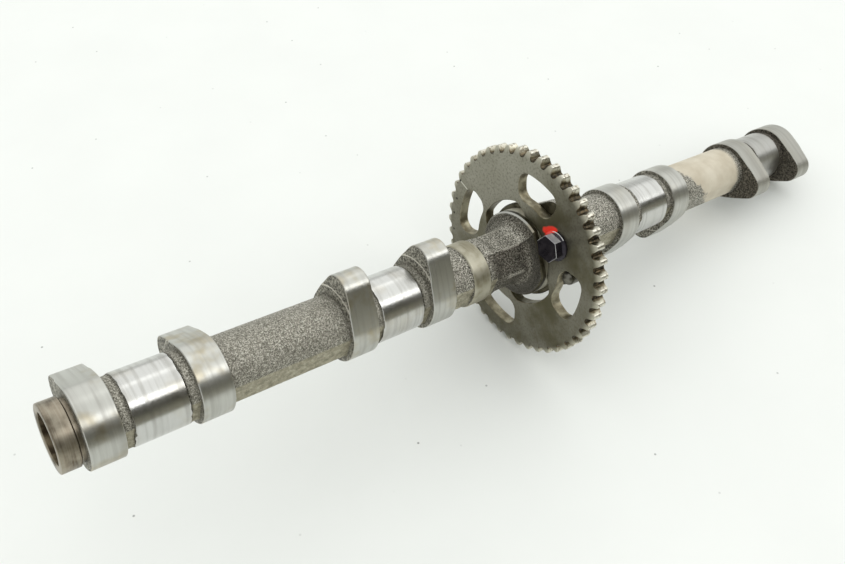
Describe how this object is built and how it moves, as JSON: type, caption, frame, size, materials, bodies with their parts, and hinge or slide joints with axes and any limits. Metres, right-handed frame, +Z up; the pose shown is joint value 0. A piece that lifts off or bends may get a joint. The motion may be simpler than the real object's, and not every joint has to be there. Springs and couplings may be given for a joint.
{
  "type": "camshaft",
  "caption": "Hollow cast camshaft of a motorcycle engine, with pairs of ground cams beside round journals and a toothed chain sprocket bolted to its middle; it lies on the sprocket and one end.",
  "frame": {"origin": "centre of the underside, on the surface that the shaft lies on", "axes": "+X along the shaft towards its open end, which lies 9.6 degrees higher than the other; +Z up"},
  "size_m": [0.3858, 0.0914, 0.091],
  "materials": {
    "chilled_cast_iron": "ground bright on cams and journals, rough as cast elsewhere",
    "hardened_steel": "stamped and hardened, satin grey-olive, worn bright on the teeth",
    "black_oxide_steel": "black oxide, semi-gloss"
  },
  "bodies": {
    "root": {"camshaft": "chilled_cast_iron", "cam_sprocket": "hardened_steel", "sprocket_bolt_1": "black_oxide_steel", "sprocket_bolt_2": "black_oxide_steel"}
  },
  "joints": []
}
